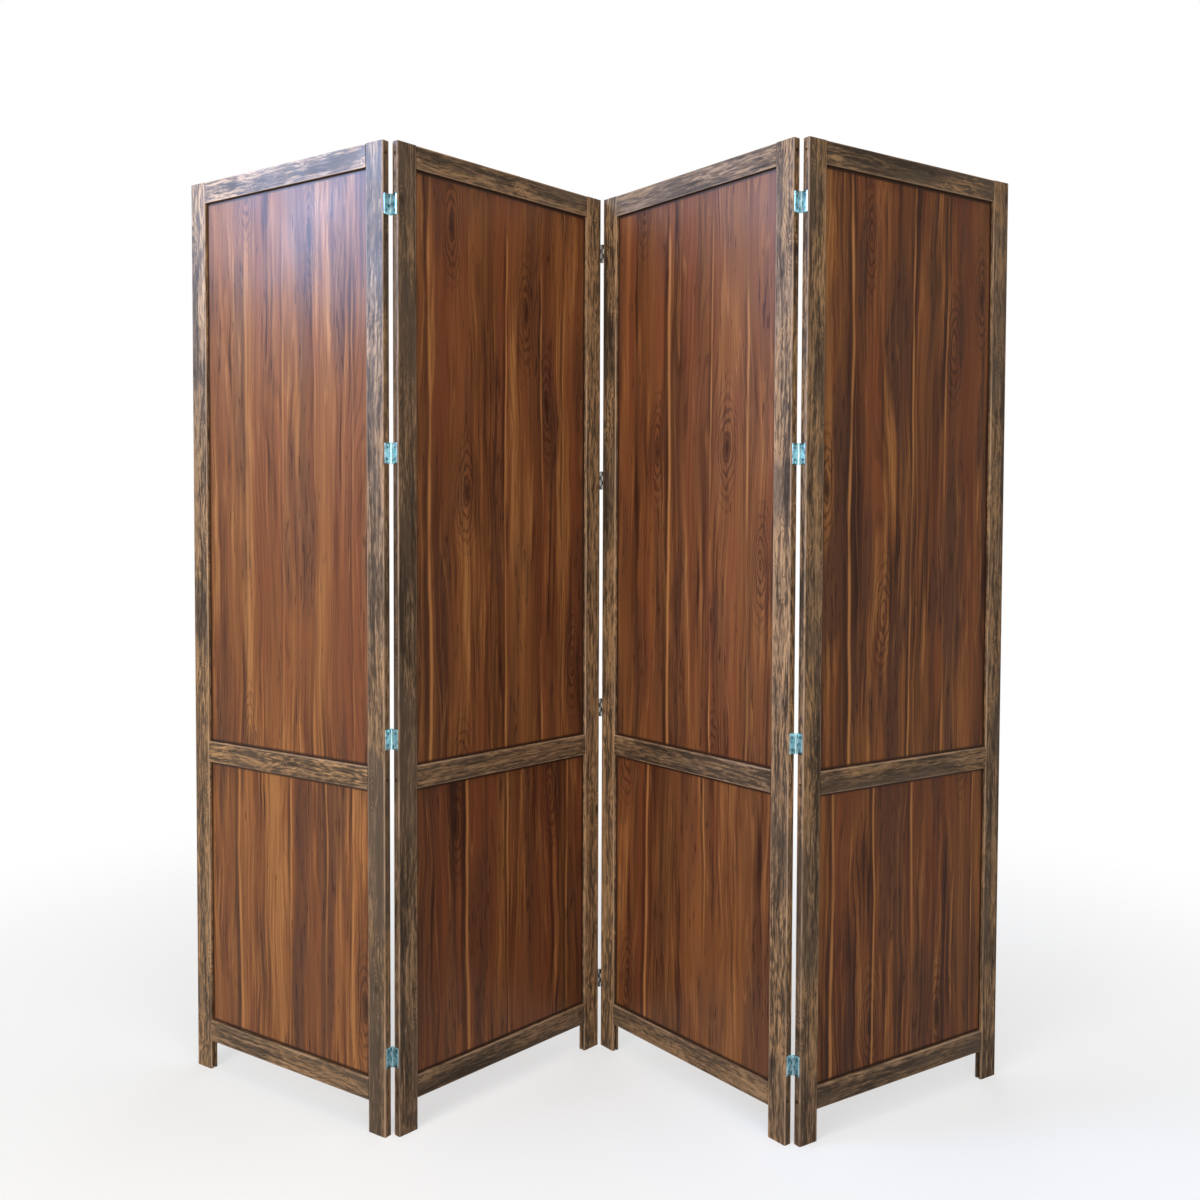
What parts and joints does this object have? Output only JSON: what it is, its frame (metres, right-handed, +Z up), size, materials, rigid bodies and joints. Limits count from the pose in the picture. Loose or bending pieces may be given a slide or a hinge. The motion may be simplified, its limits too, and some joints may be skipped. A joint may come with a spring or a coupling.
{
  "type": "folding screen",
  "caption": "Freestanding folding screen of tall framed wooden panels with thin boards, hinged edge to edge so that it stands in a zigzag and folds flat.",
  "frame": {"origin": "on the floor, in the middle of the standing screen's outline", "axes": "+Z up the stiles; +X from the left panel to the right one; the panels' front faces look towards -Y"},
  "size_m": [1.5462, 0.4018, 1.7],
  "materials": {
    "frame_wood": "satin dark walnut stain",
    "board_wood": "semi-gloss reddish walnut veneer",
    "zinc": "bright zinc plate"
  },
  "bodies": {
    "panel_1": {"panel_1_left_stile": "frame_wood", "panel_1_right_stile": "frame_wood", "panel_1_top_rail": "frame_wood", "panel_1_middle_rail": "frame_wood", "panel_1_bottom_rail": "frame_wood", "panel_1_upper_board": "board_wood", "panel_1_lower_board": "board_wood", "left_top_hinge_free_plate": "zinc", "left_upper_hinge_free_plate": "zinc", "left_lower_hinge_free_plate": "zinc", "left_bottom_hinge_free_plate": "zinc"},
    "panel_2": {"panel_2_left_stile": "frame_wood", "panel_2_right_stile": "frame_wood", "panel_2_top_rail": "frame_wood", "panel_2_middle_rail": "frame_wood", "panel_2_bottom_rail": "frame_wood", "panel_2_upper_board": "board_wood", "panel_2_lower_board": "board_wood", "left_top_hinge_pin_plate": "zinc", "left_upper_hinge_pin_plate": "zinc", "left_lower_hinge_pin_plate": "zinc", "left_bottom_hinge_pin_plate": "zinc", "centre_top_hinge_pin_plate": "zinc", "centre_upper_hinge_pin_plate": "zinc", "centre_lower_hinge_pin_plate": "zinc", "centre_bottom_hinge_pin_plate": "zinc"},
    "panel_3": {"panel_3_left_stile": "frame_wood", "panel_3_right_stile": "frame_wood", "panel_3_top_rail": "frame_wood", "panel_3_middle_rail": "frame_wood", "panel_3_bottom_rail": "frame_wood", "panel_3_upper_board": "board_wood", "panel_3_lower_board": "board_wood", "centre_top_hinge_free_plate": "zinc", "centre_upper_hinge_free_plate": "zinc", "centre_lower_hinge_free_plate": "zinc", "centre_bottom_hinge_free_plate": "zinc", "right_top_hinge_pin_plate": "zinc", "right_upper_hinge_pin_plate": "zinc", "right_lower_hinge_pin_plate": "zinc", "right_bottom_hinge_pin_plate": "zinc"},
    "panel_4": {"panel_4_left_stile": "frame_wood", "panel_4_right_stile": "frame_wood", "panel_4_top_rail": "frame_wood", "panel_4_middle_rail": "frame_wood", "panel_4_bottom_rail": "frame_wood", "panel_4_upper_board": "board_wood", "panel_4_lower_board": "board_wood", "right_top_hinge_free_plate": "zinc", "right_upper_hinge_free_plate": "zinc", "right_lower_hinge_free_plate": "zinc", "right_bottom_hinge_free_plate": "zinc"}
  },
  "joints": [
    {"name": "left_joint", "type": "hinge", "parent": "panel_2", "child": "panel_1", "pos_m": [-0.34608, -0.16544, 0], "axis": [0, 0, 1], "range_deg": [-99.5, 80.5]},
    {"name": "centre_joint", "type": "hinge", "parent": "panel_2", "child": "panel_3", "pos_m": [0.01063, 0.19215, 0], "axis": [0, 0, 1], "range_deg": [-82, 98]},
    {"name": "right_joint", "type": "hinge", "parent": "panel_3", "child": "panel_4", "pos_m": [0.34152, -0.18945, 0], "axis": [0, 0, 1], "range_deg": [-83.5, 96.5]}
  ]
}
